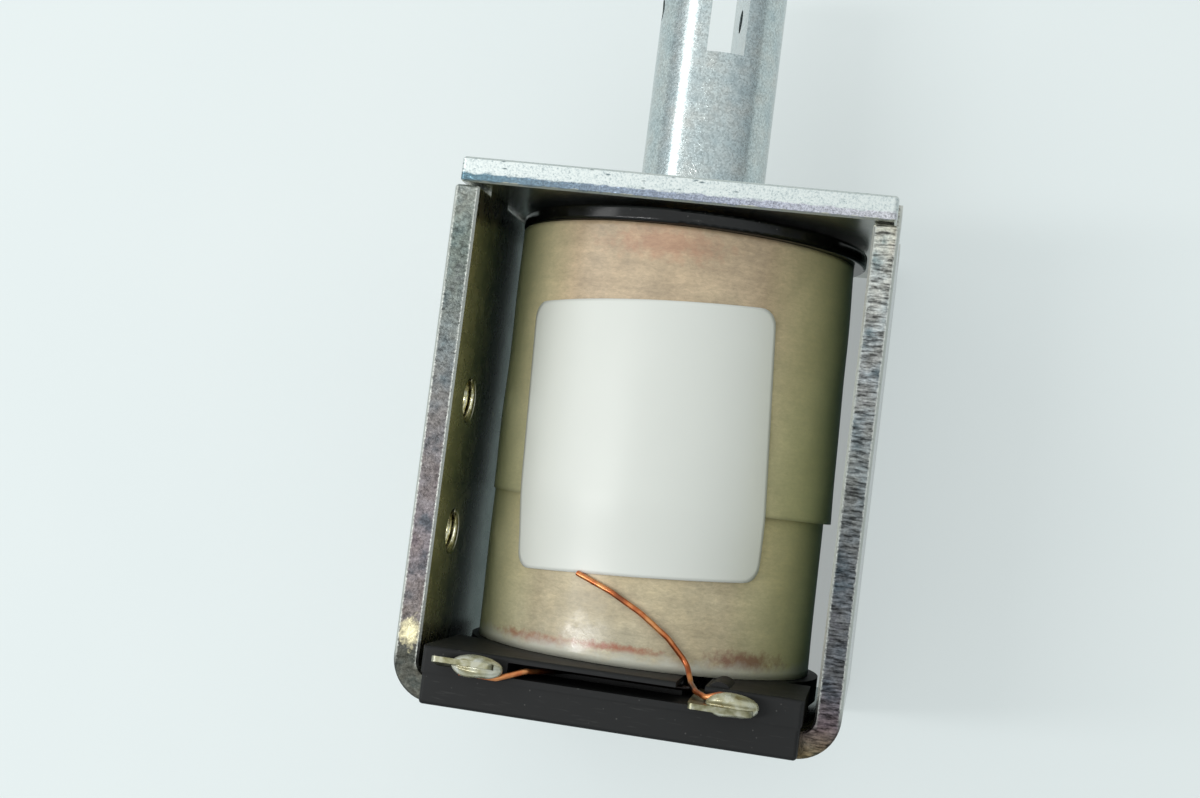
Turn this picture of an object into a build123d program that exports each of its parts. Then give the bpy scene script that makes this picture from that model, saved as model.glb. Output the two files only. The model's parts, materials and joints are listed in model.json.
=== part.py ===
# Pull solenoid in an open steel frame. A coil on a moulded bobbin sits inside a U-shaped frame closed by an
# end plate, and pulls a slotted plunger in along +Y. The part lies on the back edges of its frame, +Z up.
# Sizes are in millimetres. While it is built, y = 0 is the outside of the frame's closed end.

from build123d import *
import math
import os

# Frame and end plate, blanked from one thickness of strip
stock = 2.38
frame_width = 41.28
frame_depth = 38.1
body_length = 50.8
bend_outer = 4.0
bend_inner = 1.4
edge_break = 0.2
leg_corner = 0.35
plate_gap = 0.3
plate_width = 40.55
plate_corner = 0.4
tenon_width = 7.0
tenon_pitch = 22.0
tenon_slack = 0.06
stake_depth = 0.55
stake_length = 4.2

# How far a cut runs past the face that it opens
cut_past = 1.0

# Tapped holes in the left leg
screw_hole_dia = 4.2
screw_chamfer = 0.2
screw_first = 15.6
screw_pitch_along = 12.7
screw_pitch_across = 25.4

# Plunger, and the clevis slot in its outer end
plunger_dia = 12.7
plunger_show = 24.8
plunger_chamfer = 0.5
stroke = 12.7
slot_width = 3.76
slot_depth = 9.6
slot_turn = 13.5
pin_hole_dia = 2.38
pin_from_end = 4.5
nose_tip_dia = 4.0
nose_base_dia = 11.2
nose_angle = 60.0

# Fixed core at the closed end, and its non-magnetic disc
core_height = 12.15
shim_thickness = 0.4
seated_gap = 0.2
spigot_dia = 8.0
swage_size = 0.5
punch_dia = 2.4
fixed_fit = 0.05

# Guide tube
running_fit = 0.08
tube_wall = 0.35
tube_end_gap = 0.1

# Bobbin
bobbin_wall = 1.0
bobbin_seat = 0.05
flange_side_gap = 0.66
top_flange = 1.5
top_play = 0.35
flange_round = 0.35
lower_flange = 3.05
block_side_gap = 0.96
block_depth = 12.3
skirt_gap = 0.1
skirt_wall = 2.2
skirt_lip = 0.12
skirt_rise = 0.6
skirt_end = 0.15
block_round = 0.35
bend_relief = 0.7

# Wire channel and lead slot in the terminal block
channel_rise = 1.2
channel_height = 1.35
channel_depth = 6.0
channel_inset = 0.8
lead_slot_inset = 1.45
lead_slot_width = 2.6
lead_gap = 0.3
hump_radius = 1.2
hump_rise = 0.45
hump_gap = 0.3

# Coil
winding_gap = 0.2
rim_height = 1.15
tape_wall = 0.3
tape_gap = 0.04
outer_tape_start = 20.5
insulation_width = 4.0
insulation_thickness = 0.12

# Label
label_width = 25.4
label_height = 25.4
label_corner = 1.6
label_thickness = 0.1
label_middle = 26.7
label_tilt = 3.4

# Terminals, solder and magnet wire
tab_width = 5.7
tab_thickness = 0.5
tab_root = 7.6
tab_show = 2.6
tab_corner = 0.45
tab_level = 1.67
tab_fit = 0.03
tab_left_inset = 4.35
tab_right_inset = 7.05
tab_left_rise = 0.6
tab_right_rise = -0.2
wire_dia = 0.52
lead_run = 10.9
lead_tab_gap = 0.1
solder_dia = 2.2
solder_left_length = 4.8
solder_right_length = 4.7
solder_left_lift = 0.2
solder_right_lift = 0.3
solder_left_overhang = 0.7
solder_right_overhang = 0.45

# Places that follow from the sizes above
axis_z = frame_depth / 2
half_width = frame_width / 2
leg_inside = half_width - stock
plate_under = body_length - stock
leg_end = plate_under - plate_gap
plunger_end = body_length + plunger_show
nose_height = (nose_base_dia - nose_tip_dia) / 2 / math.tan(math.radians(nose_angle / 2))
core_top = stock + core_height
cup_floor = core_top - nose_height
plunger_tip = cup_floor + shim_thickness + seated_gap + stroke
tube_bore = plunger_dia / 2 + running_fit
tube_outside = tube_bore + tube_wall
bobbin_bore = tube_outside + fixed_fit
bobbin_outside = bobbin_bore + bobbin_wall
bobbin_bottom = stock + bobbin_seat
flange_top = bobbin_bottom + lower_flange
bobbin_top = plate_under - top_play
coil_top = bobbin_top - top_flange
flange_radius = leg_inside - flange_side_gap
block_front = frame_depth + skirt_gap + skirt_wall
lead_column = axis_z + bobbin_outside + lead_gap + wire_dia
block_half = leg_inside - block_side_gap
tab_left = -block_half + tab_left_inset
tab_right = block_half - tab_right_inset
channel_start = tab_left + tab_width / 2 + channel_inset
channel_floor = bobbin_bottom + channel_rise
lead_slot_left = tab_right - tab_width / 2 - lead_slot_inset
lead_slot_right = lead_slot_left + lead_slot_width
winding_bottom = flange_top + winding_gap
winding_top = coil_top - winding_gap
winding_radius = flange_radius - rim_height
inner_tape_bore = winding_radius + tape_gap
inner_tape_outside = inner_tape_bore + tape_wall
outer_tape_bore = inner_tape_outside + tape_gap
outer_tape_outside = outer_tape_bore + tape_wall
tab_centre = bobbin_bottom + tab_level
home = Pos(0, -plunger_end / 2, 0)


def turned(*profile):
    """A solid turned about the plunger's axis from (radius, y) corners."""
    return Pos(0, 0, axis_z) * revolve(make_face(Polyline(*profile, close=True)), Axis.Y)


def ring(bore, outside, bottom, top):
    """A plain ring round the plunger's axis, bore and outside given as radii."""
    return turned((bore, bottom), (outside, bottom), (outside, top), (bore, top))


def block(left, right, bottom, top, back, front):
    """A rectangular block between two x, two y and two z places."""
    middle = Pos((left + right) / 2, (bottom + top) / 2, (back + front) / 2)
    return middle * Box(right - left, top - bottom, front - back)


def edges_at(shape, axis, place):
    """The edges of a shape that lie wholly in one plane across an axis."""
    return shape.edges().filter_by_position(axis, place - 0.001, place + 0.001)


def tenon_places():
    """The x side and z centre of each tenon."""
    return [(side, axis_z + end * tenon_pitch / 2) for side in (-1, 1) for end in (-1, 1)]


def frame():
    """Steel strip bent into a U, its legs ending in tenons, with tapped holes in the left leg."""
    outside = Pos(0, leg_end / 2) * Rectangle(frame_width, leg_end)
    outside = fillet(outside.vertices().group_by(Axis.Y)[0], bend_outer)
    inside = Pos(0, stock + leg_end / 2) * Rectangle(2 * leg_inside, leg_end)
    inside = fillet(inside.vertices().group_by(Axis.Y)[0], bend_inner)
    strip = extrude(outside - inside, frame_depth)
    corners = edges_at(strip.edges().filter_by(Axis.Z), Axis.Y, leg_end)
    strip = fillet(corners, leg_corner)
    strip = chamfer(edges_at(strip, Axis.Z, 0) + edges_at(strip, Axis.Z, frame_depth), edge_break)
    for side, middle in tenon_places():
        inner = min(side * leg_inside, side * half_width)
        tenon = block(inner, inner + stock, leg_end - leg_corner, body_length,
                      middle - tenon_width / 2, middle + tenon_width / 2)
        groove = Pos(side * (half_width - stock / 2), body_length, middle) * Rot(0, 0, 45)
        groove *= Box(stake_depth * math.sqrt(2), stake_depth * math.sqrt(2), stake_length)
        strip += tenon - groove
    radius = screw_hole_dia / 2
    for along in (screw_first, screw_first + screw_pitch_along):
        for across in (-1, 1):
            place = Pos(-half_width + stock / 2, along, axis_z + across * screw_pitch_across / 2) * Rot(0, 90, 0)
            strip -= place * Cylinder(radius, 2 * stock)
    rims = strip.edges().filter_by(GeomType.CIRCLE).filter_by(lambda edge: abs(edge.radius - radius) < 0.001)
    strip = chamfer(rims, screw_chamfer)
    spigot_hole = Pos(0, stock / 2, axis_z) * Rot(90, 0, 0)
    strip -= spigot_hole * Cylinder(spigot_dia / 2 + fixed_fit, 2 * stock)
    mouth = spigot_dia / 2 + fixed_fit
    strip -= turned((0, -cut_past), (mouth + swage_size + cut_past, -cut_past), (mouth, swage_size), (0, swage_size))
    return strip


def end_plate():
    """Flat plate over the leg ends, notched for the tenons and bored for the guide tube."""
    half = plate_width / 2
    plate = block(-half, half, plate_under, body_length, 0, frame_depth)
    plate = fillet(plate.edges().filter_by(Axis.Y), plate_corner)
    plate = chamfer(edges_at(plate, Axis.Y, body_length) + edges_at(plate, Axis.Y, plate_under), edge_break)
    for side, middle in tenon_places():
        near = side * (leg_inside - tenon_slack)
        far = side * (half_width + stock)
        reach = tenon_width / 2 + tenon_slack
        plate -= block(min(near, far), max(near, far), plate_under - cut_past, body_length + cut_past,
                       middle - reach, middle + reach)
    return plate - ring(0, tube_outside + fixed_fit, plate_under - cut_past, body_length + cut_past)


def pole_piece():
    """Fixed steel core: a plug with a conical cup, its spigot swaged into the frame."""
    radius = plunger_dia / 2 + running_fit - fixed_fit
    spigot = spigot_dia / 2
    core = turned((0, 0), (spigot + swage_size, 0), (spigot, swage_size), (spigot, stock), (radius, stock),
                  (radius, core_top - edge_break), (radius - edge_break, core_top), (nose_base_dia / 2, core_top),
                  (nose_tip_dia / 2, cup_floor), (0, cup_floor))
    return core - turned((0, -punch_dia / 2), (punch_dia, -punch_dia / 2), (0, punch_dia / 2))


def shim_disc():
    """Thin disc in the core's cup that keeps the plunger from sticking to it."""
    return ring(0, nose_tip_dia / 2 - fixed_fit, cup_floor, cup_floor + shim_thickness)


def guide_tube():
    """Thin drawn sleeve that the plunger slides in, flush with the top of the end plate."""
    return ring(tube_bore, tube_outside, stock + tube_end_gap, body_length - tube_end_gap)


def bobbin():
    """Moulded spool, with a terminal block that hangs over the front edge of the frame."""
    spool = ring(bobbin_bore, bobbin_outside, bobbin_bottom, bobbin_top)
    rim = ring(bobbin_bore, flange_radius, coil_top, bobbin_top)
    rim_edges = rim.edges().filter_by(GeomType.CIRCLE).filter_by(lambda edge: edge.radius > bobbin_outside)
    spool += fillet(rim_edges, flange_round)
    foot = ring(bobbin_bore, flange_radius, bobbin_bottom, flange_top)
    foot_rim = edges_at(foot, Axis.Y, bobbin_bottom).filter_by(lambda edge: edge.radius > bobbin_outside)
    spool += chamfer(foot_rim, bend_relief)
    head = block(-block_half, block_half, bobbin_bottom, flange_top, block_front - block_depth, block_front)
    head = chamfer(edges_at(head.edges().filter_by(Axis.Z), Axis.Y, bobbin_bottom), bend_relief)
    front_edges = edges_at(head, Axis.Z, block_front)
    head = fillet(front_edges.filter_by(Axis.Y) + front_edges.group_by(Axis.Y)[-1], block_round)
    skirt = block(-block_half + skirt_lip, block_half - skirt_lip, skirt_end, bobbin_bottom + skirt_rise,
                  block_front - skirt_wall, block_front - skirt_lip)
    outer_edges = skirt.edges().filter_by(Axis.Y).group_by(Axis.Z)[-1] + edges_at(skirt, Axis.Y, skirt_end)
    skirt = fillet(outer_edges, block_round)
    step = block(-block_half, block_half, bobbin_bottom - cut_past, bobbin_bottom + skirt_rise,
                 block_front - skirt_lip, block_front + cut_past)
    spool += head - step + skirt
    hump_back = axis_z + math.sqrt(outer_tape_outside ** 2 - lead_slot_right ** 2) + hump_gap
    hump = Pos(lead_slot_right + hump_radius, flange_top + hump_rise - hump_radius, hump_back)
    spool += hump * extrude(Circle(hump_radius), block_front - 2 * block_round - hump_back)
    spool -= ring(0, bobbin_bore, skirt_end, flange_top + cut_past)
    spool -= block(channel_start, lead_slot_right, channel_floor, channel_floor + channel_height,
                   block_front - channel_depth, block_front + cut_past)
    spool -= block(lead_slot_left, lead_slot_right, channel_floor, flange_top + hump_rise + cut_past,
                   lead_column - wire_dia, block_front + cut_past)
    for middle in (tab_left, tab_right):
        half_tab = tab_width / 2 + tab_fit
        half_thick = tab_thickness / 2 + tab_fit
        spool -= block(middle - half_tab, middle + half_tab, tab_centre - half_thick, tab_centre + half_thick,
                       block_front - tab_root - tab_fit, block_front + cut_past)
    return spool


def winding():
    """The coil of magnet wire, as one ring."""
    return ring(bobbin_outside + fixed_fit, winding_radius, winding_bottom, winding_top)


def start_lead_insulation():
    """Strip of film between the winding and the slot that the inner lead runs out through."""
    middle = lead_slot_left + lead_slot_width / 2
    outer = math.sqrt(winding_radius ** 2 - (middle + insulation_width / 2) ** 2)
    return block(middle - insulation_width / 2, middle + insulation_width / 2, flange_top,
                 flange_top + insulation_thickness, lead_column + wire_dia, axis_z + outer)


def tape(bore, outside, bottom):
    """One wrap of tape round the coil, from a given height to the upper flange."""
    return ring(bore, outside, bottom, coil_top - tape_gap)


def label():
    """Die-cut label bent round the tape. Flat on the sheet it is a square with rounded corners."""
    bore = outer_tape_outside + tape_gap
    half_chord = bore * math.sin(label_width / 2 / bore)
    sheet = Rectangle(2 * half_chord, label_height)
    sheet = fillet(sheet.vertices(), label_corner)
    cutter = Pos(0, label_middle, axis_z) * Rot(0, 0, label_tilt) * extrude(sheet, frame_depth)
    return ring(bore, bore + label_thickness, winding_bottom, winding_top) & cutter


def bent_tab(middle, rise):
    """A flat solder tab, held in the block and bent a little where it comes out."""
    low = tab_centre - tab_thickness / 2
    high = tab_centre + tab_thickness / 2
    back = block_front - tab_root
    tip = block_front + tab_show
    profile = Polyline((back, low), (block_front, low), (tip, low + rise), (tip, high + rise),
                       (block_front, high), (back, high), close=True)
    side_view = Plane(origin=(middle - tab_width / 2, 0, 0), x_dir=(0, 0, 1), z_dir=(-1, 0, 0))
    side_face = make_face(side_view * profile)
    tab = extrude(side_face, amount=tab_width, dir=(1, 0, 0))
    ends = tab.edges().filter_by(Axis.Y).group_by(Axis.Z)[-1]
    return fillet(ends, tab_corner)


def wire(points, bends):
    """Round wire along straight runs joined by tangent arcs, their radii given in wire diameters."""
    rod = Part()
    for run in FilletPolyline(*points, radius=[bend * wire_dia for bend in bends]).edges():
        section = Plane(origin=run @ 0, z_dir=run % 0) * Circle(wire_dia / 2)
        if run.geom_type == GeomType.LINE:
            rod += extrude(section, run.length)
        else:
            bend = Axis(run.arc_center, (run % 0).cross(run % 1))
            rod += revolve(section, bend, math.degrees(run.length / run.radius))
    return rod


def on_coil(left, down):
    """A point for the middle of a wire that lies on the inner tape. left and down are shares of the outer
    lead's run towards the slot: to the place where it leaves the label, and from the label to the flange."""
    x = lead_slot_left - left * lead_run
    label_foot = label_middle - label_height / 2
    reach = inner_tape_outside + 0.8 * wire_dia
    return (x, label_foot - down * (label_foot - flange_top), axis_z + math.sqrt(reach ** 2 - x ** 2))


def off(place, right, up, out):
    """A point some wire diameters from another."""
    steps = (right, up, out)
    return tuple(start + step * wire_dia for start, step in zip(place, steps))


def start_lead():
    """Inner lead: out through the slot, along the channel, and under the left tab."""
    top = (lead_slot_left, winding_bottom, lead_column)
    foot = (lead_slot_left, channel_floor, lead_column)
    corner = (lead_slot_left, channel_floor, block_front - channel_depth)
    deep = (channel_start, channel_floor, block_front - channel_depth)
    mouth = (channel_start, channel_floor, block_front)
    tab_side = (channel_start, tab_centre - (tab_thickness + wire_dia) / 2, block_front)
    tab_under = (tab_left, tab_centre - (tab_thickness + wire_dia) / 2, block_front)
    points = [off(top, 1.9, 0, 0), off(foot, 1.9, 1.45, 0), off(corner, 1.9, 1.45, 1), off(deep, 9, 1.45, 1),
              off(mouth, 3.2, 1.5, -0.2), off(tab_side, -1.35, -0.1, 1.9), off(tab_under, -0.8, 0.1, 2.6)]
    return wire(points, [1.15, 1.5, 2.9, 2.3, 1.9])


def finish_lead():
    """Outer lead: down the coil, forward through the slot, and over the right tab."""
    slot = (lead_slot_left, flange_top, block_front)
    on_tab = tab_centre + (tab_right_rise + tab_thickness + wire_dia) / 2 + lead_tab_gap
    over = (tab_right, on_tab, block_front + tab_show / 2)
    over_end = (tab_right + tab_width / 2, on_tab, block_front + tab_show / 2)
    points = [on_coil(1, 0.06), on_coil(0.68, 0.21), on_coil(0.41, 0.39), on_coil(0.16, 0.62),
              on_coil(-0.02, 0.87), off(slot, 2, -0.6, -5.3), off(slot, 3.5, -1.2, -0.4),
              off(over, -2.7, 0.1, 0), off(over, -0.4, 1, 0.4), off(over_end, -3.1, 0.9, 0.4),
              off(over_end, -0.4, 0.1, 0.4)]
    return wire(points, [5.8, 5.8, 5.8, 2.3, 1.5, 1.9, 1.5, 1.9, 2.3])


def solder(middle, overhang, lift, length, tab, lead):
    """A bead of solder round a tab's right end and the wire on it."""
    end = middle + tab_width / 2 + overhang
    place = Pos(end - length / 2, tab_centre + lift, block_front + tab_show / 2)
    straight = length - solder_dia
    bead = Rot(0, 90, 0) * Cylinder(solder_dia / 2, straight)
    for side in (-1, 1):
        bead += Pos(side * straight / 2, 0, 0) * Sphere(solder_dia / 2)
    return place * bead - tab - lead


def plunger():
    """Steel plunger: conical nose, and a slot with a cross hole for a clevis pin."""
    radius = plunger_dia / 2
    shoulder = plunger_tip + nose_height
    rod = turned((0, plunger_tip), (nose_tip_dia / 2, plunger_tip), (nose_base_dia / 2, shoulder),
                 (radius, shoulder), (radius, plunger_end - plunger_chamfer),
                 (radius - plunger_chamfer, plunger_end), (0, plunger_end))
    turn = Pos(0, 0, axis_z) * Rot(0, slot_turn, 0)
    slot_floor = plunger_end - slot_depth
    rod -= turn * block(-slot_width / 2, slot_width / 2, slot_floor, plunger_end + cut_past,
                        -radius - cut_past, radius + cut_past)
    cross_hole = Pos(0, plunger_end - pin_from_end, 0) * Rot(0, 90, 0)
    return rod - turn * cross_hole * Cylinder(pin_hole_dia / 2, plunger_dia + 2 * cut_past)


def parts():
    """Every piece by name, where it lies with the plunger drawn out."""
    tabs = {"left": bent_tab(tab_left, tab_left_rise), "right": bent_tab(tab_right, tab_right_rise)}
    leads = {"left": start_lead(), "right": finish_lead()}
    beads = {
        "left": solder(tab_left, solder_left_overhang, solder_left_lift, solder_left_length,
                       tabs["left"], leads["left"]),
        "right": solder(tab_right, solder_right_overhang, solder_right_lift, solder_right_length,
                        tabs["right"], leads["right"]),
    }
    return {
        "frame": frame(),
        "end_plate": end_plate(),
        "pole_piece": pole_piece(),
        "shim_disc": shim_disc(),
        "guide_tube": guide_tube(),
        "bobbin": bobbin(),
        "winding": winding(),
        "start_lead_insulation": start_lead_insulation(),
        "inner_tape": tape(inner_tape_bore, inner_tape_outside, flange_top + tape_gap),
        "outer_tape": tape(outer_tape_bore, outer_tape_outside, outer_tape_start),
        "label": label(),
        "terminal_left": tabs["left"],
        "terminal_right": tabs["right"],
        "start_lead": leads["left"],
        "finish_lead": leads["right"],
        "solder_left": beads["left"],
        "solder_right": beads["right"],
        "plunger": plunger(),
    }


os.makedirs("parts", exist_ok=True)
for name, shape in parts().items():
    export_step(home * shape, f"parts/{name}.step")
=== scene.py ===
import bpy
import bmesh
import json
import math
import numpy as np
from mathutils import Matrix, Vector


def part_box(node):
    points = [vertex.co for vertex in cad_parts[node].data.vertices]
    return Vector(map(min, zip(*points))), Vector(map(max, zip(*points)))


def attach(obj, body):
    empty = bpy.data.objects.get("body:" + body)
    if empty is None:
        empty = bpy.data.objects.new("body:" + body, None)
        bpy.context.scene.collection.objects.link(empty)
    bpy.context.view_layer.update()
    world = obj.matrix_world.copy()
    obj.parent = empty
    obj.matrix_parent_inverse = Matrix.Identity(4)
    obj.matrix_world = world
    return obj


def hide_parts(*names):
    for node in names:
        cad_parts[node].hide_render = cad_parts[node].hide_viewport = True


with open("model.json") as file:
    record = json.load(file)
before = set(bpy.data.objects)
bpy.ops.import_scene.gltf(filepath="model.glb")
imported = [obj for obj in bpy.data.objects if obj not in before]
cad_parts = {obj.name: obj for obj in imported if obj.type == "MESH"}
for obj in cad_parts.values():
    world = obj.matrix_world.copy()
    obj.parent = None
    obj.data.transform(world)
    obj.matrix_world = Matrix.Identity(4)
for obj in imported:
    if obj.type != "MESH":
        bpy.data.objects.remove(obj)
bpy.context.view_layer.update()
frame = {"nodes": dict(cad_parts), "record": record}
nodes = frame["nodes"]


# Frame: a strip of mild steel, sheared to width, bent into a U and zinc plated with a clear passivate.
# The sheared front and back edges show short marks across the strip, pits and bright burrs, with painted
# light and shade along them and a painted glint above the left bend. The faces are smooth enough to
# mirror the coil, and the passivate tints the inner ones olive and teal, with painted shade deep inside.
mm = 0.001
strip_thickness = 2.38
shear_mark_pitch = 0.24
frame_low, frame_high = [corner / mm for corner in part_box("frame")]
leg_middle = frame_high.x - strip_thickness / 2
leg_top = 10.3
bend_x, bend_top = 16.9, -34.0
outside_x, outside_y = 18.65, -36.5
olive_z, teal_z, tint_drift = 38.0, 26.0, 12.0
# Place and reach of the painted glint on the left leg above its bend.
bend_painted_glint, bend_painted_glint_reach = (-19.4, -31.6, 38.1), (1.3, 1.9, 1.5)
noise_span = {"From Min": 0.3, "From Max": 0.7}


def linear(hex_colour, alpha=1.0):
    """An sRGB colour written in hex, as the linear colour that the shader wants."""
    parts = [int(hex_colour[i:i + 2], 16) / 255 for i in (1, 3, 5)]
    return [c / 12.92 if c <= 0.04045 else ((c + 0.055) / 1.055) ** 2.4 for c in parts] + [alpha]


def add(tree, kind, inputs=None, stops=(), **settings):
    """Adds one node: settings are its own options, inputs are socket values or links from other nodes,
    and stops are the places and hex colours along a colour ramp. A mix node's sockets go by number: 0 is
    the share, 2 and 3 are its two numbers, 4 and 5 its two vectors, and 6 and 7 its two colours."""
    node = tree.nodes.new(kind)
    for option, value in settings.items():
        setattr(node, option, value)
    for socket, value in (inputs or {}).items():
        if isinstance(value, bpy.types.NodeSocket):
            tree.links.new(value, node.inputs[socket])
        else:
            node.inputs[socket].default_value = value
    for index, (position, colour) in enumerate(stops):
        places = node.color_ramp.elements
        stop = places[index] if index < len(places) else places.new(position)
        stop.position, stop.color = position, linear(colour)
    return node


def new_material(name):
    """An empty node material, as (material, tree, object coordinates in millimetres)."""
    material = bpy.data.materials.new(name)
    material.use_nodes = True
    tree = material.node_tree
    tree.nodes.clear()
    place = add(tree, "ShaderNodeTexCoord")
    scaled = add(tree, "ShaderNodeVectorMath", {0: place.outputs["Object"], 1: (1000, 1000, 1000)},
                 operation="MULTIPLY")
    return material, tree, scaled.outputs[0]


def close_material(tree, shader):
    """Links the shader to the material's output."""
    add(tree, "ShaderNodeOutputMaterial", {"Surface": shader.outputs[0]})


def paint(material, *names):
    """Gives CAD nodes one material."""
    for name in names:
        nodes[name].data.materials.clear()
        nodes[name].data.materials.append(material)


def patch(tree, at, centre, reach, ragged):
    """A mask that is 1 at a place in millimetres and falls to 0 at its reach along x, y and z. The
    distance is the length of (place - centre) / reach, and noise makes its rim ragged."""
    away = add(tree, "ShaderNodeVectorMath", {0: at, 1: centre}, operation="SUBTRACT")
    share = add(tree, "ShaderNodeVectorMath", {0: away.outputs[0], 1: reach}, operation="DIVIDE")
    distance = add(tree, "ShaderNodeVectorMath", {0: share.outputs[0]}, operation="LENGTH")
    rough_rim = add(tree, "ShaderNodeTexNoise", {"Vector": at, "Scale": ragged, "Detail": 4.0,
                                                 "Roughness": 0.7})
    uneven = add(tree, "ShaderNodeMath", {0: rough_rim.outputs[0], 1: 1.6, 2: distance.outputs["Value"]},
                 operation="MULTIPLY_ADD")
    mask = add(tree, "ShaderNodeMapRange", {"Value": uneven.outputs[0], "From Min": 1.65, "From Max": 1.05})
    return mask.outputs[0]


def plated_strip():
    """Zinc plated strip: sheared edges with painted shade, darker low down and on the left, a painted glint,
    and mirror-like faces with painted shade deep inside.
    """
    material, tree, at = new_material("zinc plated sheared steel strip")
    spot = add(tree, "ShaderNodeSeparateXYZ", {0: at})
    facing = add(tree, "ShaderNodeTexCoord")
    normal = add(tree, "ShaderNodeSeparateXYZ", {0: facing.outputs["Normal"]})
    upright = add(tree, "ShaderNodeMath", {0: normal.outputs["Z"]}, operation="ABSOLUTE")
    edge = add(tree, "ShaderNodeMapRange", {"Value": upright.outputs[0], "From Min": 0.35, "From Max": 0.6})
    outward = add(tree, "ShaderNodeMath", {0: spot.outputs["X"]}, operation="ABSOLUTE")
    on_leg = add(tree, "ShaderNodeMapRange", {"Value": outward.outputs[0], "From Min": bend_x - 0.7,
                                              "From Max": bend_x + 0.7})

    # Shear marks lie across the strip: along X on the legs and along Y on the closed end. They are drawn
    # coarser than real so that they show, clear on the right leg and worn to a mottle on the left.
    side = add(tree, "ShaderNodeMapRange", {"Value": spot.outputs["X"], "From Min": -2.0, "From Max": 2.0})
    stretch = add(tree, "ShaderNodeMix", {0: side.outputs[0], 4: (1.9, 2.7, 1.9),
                                          5: (0.9, 1 / shear_mark_pitch, 0.9)}, data_type="VECTOR")
    across_leg = add(tree, "ShaderNodeVectorMath", {0: at, 1: stretch.outputs[1]}, operation="MULTIPLY")
    across_end = add(tree, "ShaderNodeVectorMath", {0: at, 1: (1 / shear_mark_pitch, 0.9, 0.9)},
                     operation="MULTIPLY")
    across = add(tree, "ShaderNodeMix", {0: on_leg.outputs[0], 4: across_end.outputs[0],
                                         5: across_leg.outputs[0]}, data_type="VECTOR")
    marks = add(tree, "ShaderNodeTexNoise", {"Vector": across.outputs[1], "Scale": 1.0, "Detail": 4.0,
                                             "Roughness": 0.62, "Distortion": 0.1})
    grain = add(tree, "ShaderNodeTexNoise", {"Vector": at, "Scale": 4.2, "Detail": 3.0, "Roughness": 0.7})

    # The edges' tone from the foot of each leg to its top, partly the metal's own and partly painted light
    # and shade that makes them darker low down and on the left leg, with clouds of blue and violet over it.
    rows = add(tree, "ShaderNodeMapRange", {"Value": spot.outputs["Y"], "From Min": frame_low.y,
                                            "From Max": leg_top})
    left_tone_and_light = add(tree, "ShaderNodeValToRGB", {0: rows.outputs[0]}, stops=(
        (0.0, "#565751"), (0.09, "#454641"), (0.16, "#6A6564"), (0.3, "#706A6D"), (0.5, "#6C696A"),
        (0.68, "#6E7373"), (0.9, "#69736F"), (1.0, "#868B87")))
    right_tone_and_light = add(tree, "ShaderNodeValToRGB", {0: rows.outputs[0]}, stops=(
        (0.0, "#6B5E42"), (0.07, "#5E555A"), (0.15, "#525458"), (0.35, "#5B5E61"), (0.55, "#717575"),
        (0.72, "#86898A"), (0.9, "#9B9E9C"), (1.0, "#A5A49A")))
    tone = add(tree, "ShaderNodeMix", {0: side.outputs[0], 6: left_tone_and_light.outputs[0], 7: right_tone_and_light.outputs[0]},
               data_type="RGBA")
    cloud = add(tree, "ShaderNodeTexNoise", {"Vector": at, "Scale": 0.45, "Detail": 3.0, "Roughness": 0.6})
    tint = add(tree, "ShaderNodeValToRGB", {0: cloud.outputs[0]}, stops=(
        (0.3, "#B4C2C8"), (0.45, "#FFFFFF"), (0.6, "#FBF6F0"), (0.75, "#E0D8DC")))
    tinted = add(tree, "ShaderNodeMix", {0: 1.0, 6: tone.outputs[2], 7: tint.outputs[0]}, data_type="RGBA",
                 blend_type="MULTIPLY")
    shallow = add(tree, "ShaderNodeMapRange", {"Value": marks.outputs[0], "From Min": 0.34, "From Max": 0.66,
                                               "To Min": 0.55, "To Max": 1.4})
    steep = add(tree, "ShaderNodeMapRange", {"Value": marks.outputs[0], "From Min": 0.36, "From Max": 0.64,
                                             "To Min": 0.25, "To Max": 1.95})
    contrast = add(tree, "ShaderNodeMix", {0: side.outputs[0], 2: shallow.outputs[0], 3: steep.outputs[0]},
                   data_type="FLOAT")
    speckle = add(tree, "ShaderNodeMapRange", {"Value": grain.outputs[0], **noise_span, "To Min": 0.7,
                                               "To Max": 1.3})
    marked = add(tree, "ShaderNodeMath", {0: contrast.outputs[0], 1: speckle.outputs[0]},
                 operation="MULTIPLY")
    worn = add(tree, "ShaderNodeMix", {0: 1.0, 6: tinted.outputs[2], 7: marked.outputs[0]}, data_type="RGBA",
               blend_type="MULTIPLY")

    # Bright burrs along both rims of each leg's edge, and a painted glint on the left leg above its bend.
    from_middle = add(tree, "ShaderNodeMath", {0: outward.outputs[0], 1: leg_middle}, operation="SUBTRACT")
    to_rim = add(tree, "ShaderNodeMath", {0: from_middle.outputs[0]}, operation="ABSOLUTE")
    uneven_rim = add(tree, "ShaderNodeMath", {0: grain.outputs[0], 1: 0.5, 2: to_rim.outputs[0]},
                     operation="MULTIPLY_ADD")
    rim = add(tree, "ShaderNodeMapRange", {"Value": uneven_rim.outputs[0], "From Min": 1.08,
                                           "From Max": 1.28})
    above_bend = add(tree, "ShaderNodeMapRange", {"Value": spot.outputs["Y"], "From Min": bend_top - 1,
                                                  "From Max": bend_top + 1})
    burr = add(tree, "ShaderNodeMath", {0: rim.outputs[0], 1: above_bend.outputs[0]}, operation="MULTIPLY")
    burred = add(tree, "ShaderNodeMix", {0: burr.outputs[0], 6: worn.outputs[2], 7: linear("#C6C8C2")},
                 data_type="RGBA")
    # Painted glint: a warm pale patch stands in for a highlight on the left leg above its bend.
    glint = patch(tree, at, bend_painted_glint, bend_painted_glint_reach, 1.6)
    sheared = add(tree, "ShaderNodeMix", {0: glint, 6: burred.outputs[2], 7: linear("#DCD3AC")},
                  data_type="RGBA")
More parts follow.
